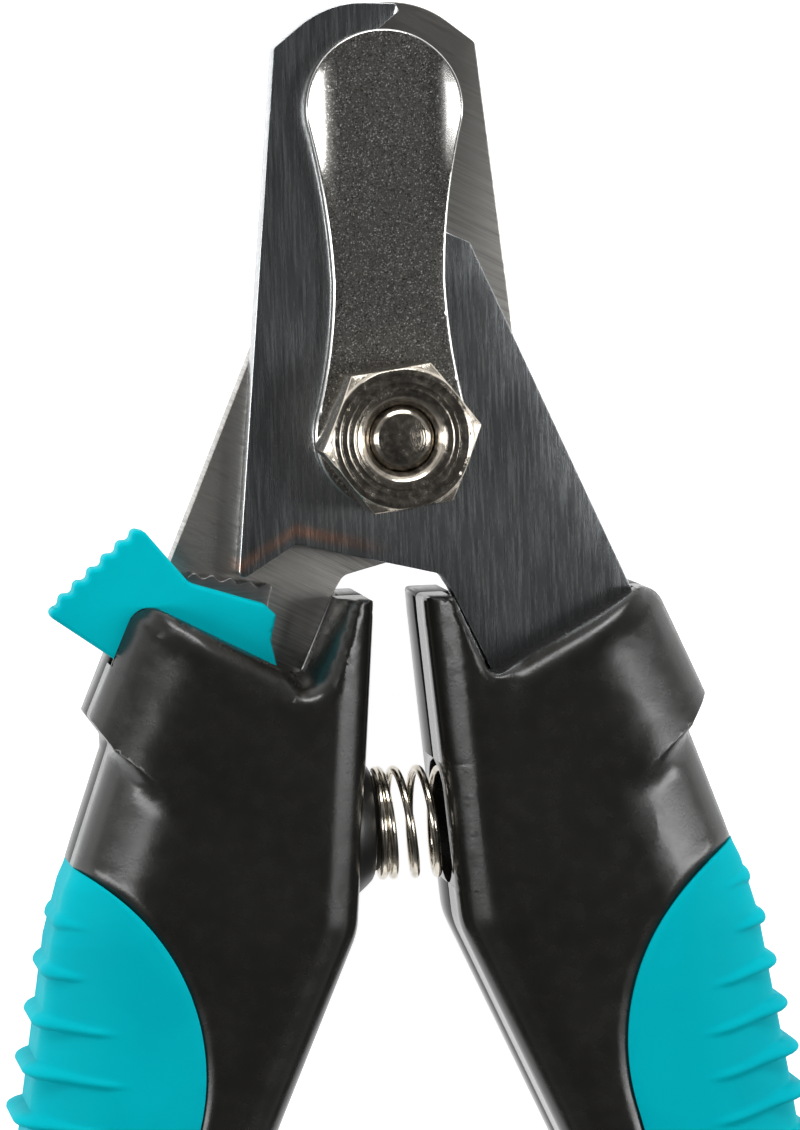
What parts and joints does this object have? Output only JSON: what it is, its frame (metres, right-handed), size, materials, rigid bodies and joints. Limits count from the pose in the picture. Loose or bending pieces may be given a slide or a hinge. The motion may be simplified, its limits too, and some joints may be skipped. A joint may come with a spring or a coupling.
{
  "type": "scissor nail clipper",
  "caption": "Scissor-style pet nail clipper: crossed notched blades on a pivot bolt, a swinging guard plate, spring-opened two-part handles with soft grips and a thumb lock.",
  "frame": {"origin": "on the supporting surface, under the middle of the tool's outline, tool lying flat with the nut upward", "axes": "+Y along the tool towards the blade tips, +Z along the pivot bolt towards the nut, +X to the right seen from the nut side"},
  "size_m": [0.0664, 0.1564, 0.0171],
  "materials": {
    "blade_front": "fine brushed, satin",
    "blade_rear": "diagonally ground, satin",
    "guard_steel": "fine blasted with bright edges",
    "nickel": "turned and nickel plated",
    "insert_nylon": "matte",
    "shell_plastic": "fine grain, satin",
    "grip_rubber": "smooth satin",
    "screw_steel": "zinc plated",
    "lever_plastic": "satin",
    "pawl_steel": "dark stamped",
    "spring_steel": "drawn wire, plated",
    "cup_plastic": "satin"
  },
  "bodies": {
    "left_half": {"rear_blade": "blade_rear", "pivot_bolt": "nickel", "pivot_nut": "nickel", "nut_insert": "insert_nylon", "left_front_shell": "shell_plastic", "left_rear_shell": "shell_plastic", "left_grip": "grip_rubber", "left_screws": "screw_steel", "lock_pin": "screw_steel", "spring_cup": "cup_plastic", "return_spring": "spring_steel"},
    "right_half": {"front_blade": "blade_front", "right_front_shell": "shell_plastic", "right_rear_shell": "shell_plastic", "right_grip": "grip_rubber", "right_screws": "screw_steel"},
    "guard": {"guard_plate": "guard_steel"},
    "lock": {"lock_lever": "lever_plastic", "lock_pawl": "pawl_steel"}
  },
  "joints": [
    {"name": "handle_pivot", "type": "hinge", "parent": "left_half", "child": "right_half", "pos_m": [0, 0.0471, 0.007], "axis": [0, 0, 1], "range_deg": [-5, 24], "deforming": ["return_spring"]},
    {"name": "guard_swing", "type": "hinge", "parent": "left_half", "child": "guard", "pos_m": [0, 0.0471, 0.01035], "axis": [0, 0, 1], "range_deg": [-70, 70]},
    {"name": "lock_pivot", "type": "hinge", "parent": "left_half", "child": "lock", "pos_m": [-0.0159, 0.0329, 0.0085], "axis": [0, 0, 1], "range_deg": [-25, 0]}
  ]
}
